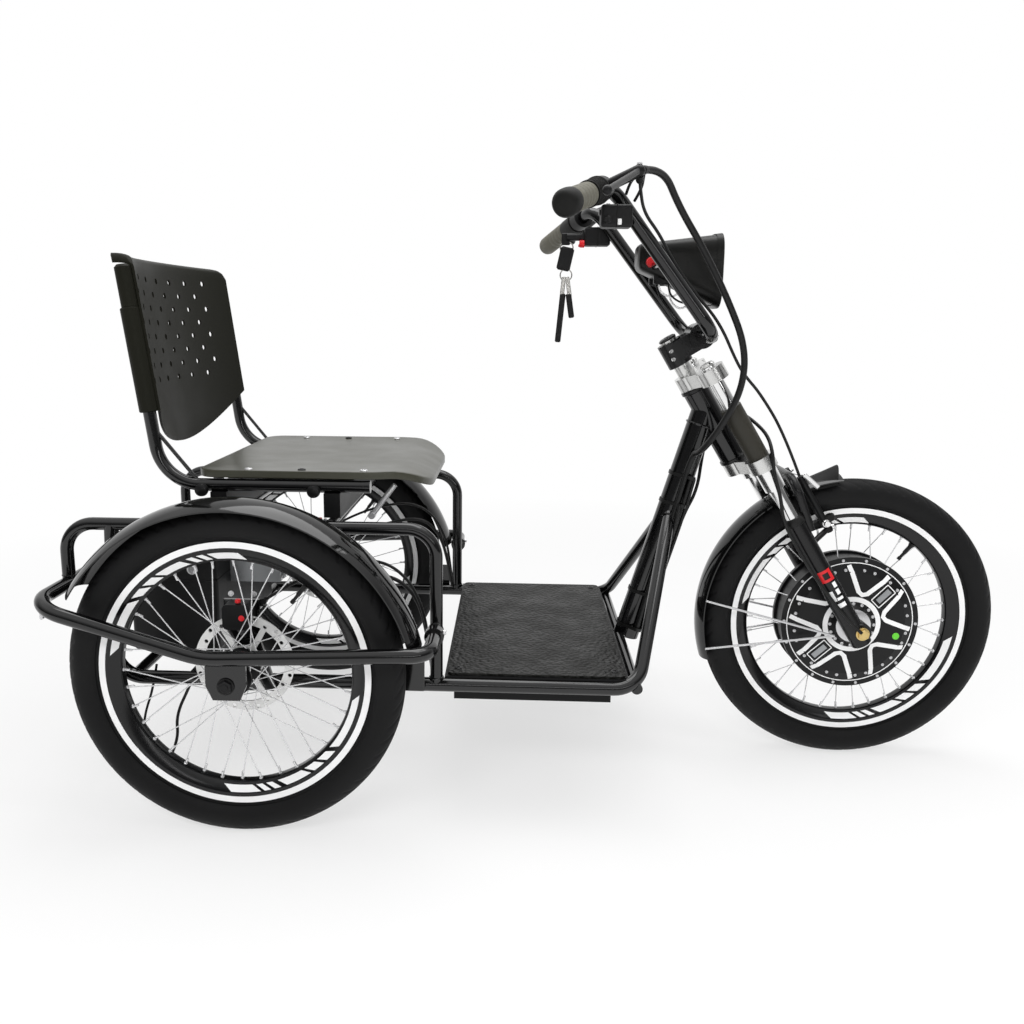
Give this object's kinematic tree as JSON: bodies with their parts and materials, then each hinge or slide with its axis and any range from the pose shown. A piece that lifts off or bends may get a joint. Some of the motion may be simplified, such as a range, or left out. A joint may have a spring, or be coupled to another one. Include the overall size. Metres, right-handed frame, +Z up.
{
  "type": "electric trike",
  "caption": "Electric trike with a chair seat between two spoked rear wheels, a flat footboard and a steered hub-motor front wheel under a tall handlebar.",
  "frame": {"origin": "on the ground, in the middle of the trike's length and width", "axes": "+X forward, +Y to the rider's left, +Z up"},
  "size_m": [1.574, 0.77, 1.0118],
  "materials": {
    "frame_paint": "gloss",
    "steel": "satin",
    "caliper": "satin",
    "deck": "satin",
    "mat": "textured",
    "mount_steel": "satin",
    "seat_plastic": "fine grain",
    "case_plastic": "satin",
    "controller": "anodised",
    "fender_gloss": "gloss",
    "crown_alloy": "polished",
    "chrome": "polished",
    "sleeve": "satin",
    "fork_paint": "satin",
    "brass": "satin",
    "brake_arm": "satin",
    "grip": "matte",
    "throttle": "ribbed",
    "lamp_shell": "satin",
    "lens": "clear",
    "key_metal": "satin",
    "cable": "satin",
    "motor": "satin",
    "rim": "gloss",
    "spoke": "bright",
    "tyre": "matte",
    "rotor": "brushed",
    "hub": "satin"
  },
  "bodies": {
    "frame": {"backrest": "seat_plastic", "battery_box": "case_plastic", "brake_calipers": "caliper", "controller": "controller", "cross_tubes": "frame_paint", "down_tube": "frame_paint", "dropouts": "frame_paint", "floor_rails": "frame_paint", "foot_mat": "mat", "footboard": "deck", "head_tube": "frame_paint", "rear_axles": "steel", "rear_fenders": "fender_gloss", "seat_frame": "frame_paint", "seat_mount": "mount_steel", "seat_pan": "seat_plastic", "side_loops": "frame_paint", "under_tray": "deck", "wheel_guard": "frame_paint"},
    "steering": {"brake_cable": "cable", "brake_levers": "brake_arm", "cable_loom": "cable", "fender_stays": "steel", "fork_crowns": "crown_alloy", "fork_lowers": "fork_paint", "fork_shoulders": "chrome", "fork_sleeves": "sleeve", "front_axle": "brass", "front_fender": "fender_gloss", "grips": "grip", "handlebar": "frame_paint", "headlamp": "lamp_shell", "key_bunch": "key_metal", "lamp_bracket": "frame_paint", "lamp_lens": "lens", "stanchions": "chrome", "stem": "fork_paint", "switch_boxes": "case_plastic", "throttle": "throttle", "v_brake": "brake_arm"},
    "front_wheel": {"front_rim": "rim", "front_spokes": "spoke", "front_tyre": "tyre", "hub_motor": "motor"},
    "rear_left_wheel": {"rear_left_hub": "hub", "rear_left_rim": "rim", "rear_left_rotor": "rotor", "rear_left_spokes": "spoke", "rear_left_tyre": "tyre"},
    "rear_right_wheel": {"rear_right_hub": "hub", "rear_right_rim": "rim", "rear_right_rotor": "rotor", "rear_right_spokes": "spoke", "rear_right_tyre": "tyre"}
  },
  "joints": [
    {"name": "steer", "type": "hinge", "parent": "frame", "child": "steering", "pos_m": [0.27569, 0, 0.61075], "axis": [-0.5225, 0, 0.8526], "range_deg": [-45, 45], "deforming": ["cable_loom"]},
    {"name": "front_wheel_spin", "type": "hinge", "parent": "steering", "child": "front_wheel", "pos_m": [0.53, 0, 0.257], "axis": [0, 1, 0], "continuous": true},
    {"name": "rear_left_spin", "type": "hinge", "parent": "frame", "child": "rear_left_wheel", "pos_m": [-0.49, 0.32, 0.257], "axis": [0, 1, 0], "continuous": true},
    {"name": "rear_right_spin", "type": "hinge", "parent": "frame", "child": "rear_right_wheel", "pos_m": [-0.49, -0.32, 0.257], "axis": [0, 1, 0], "continuous": true}
  ]
}
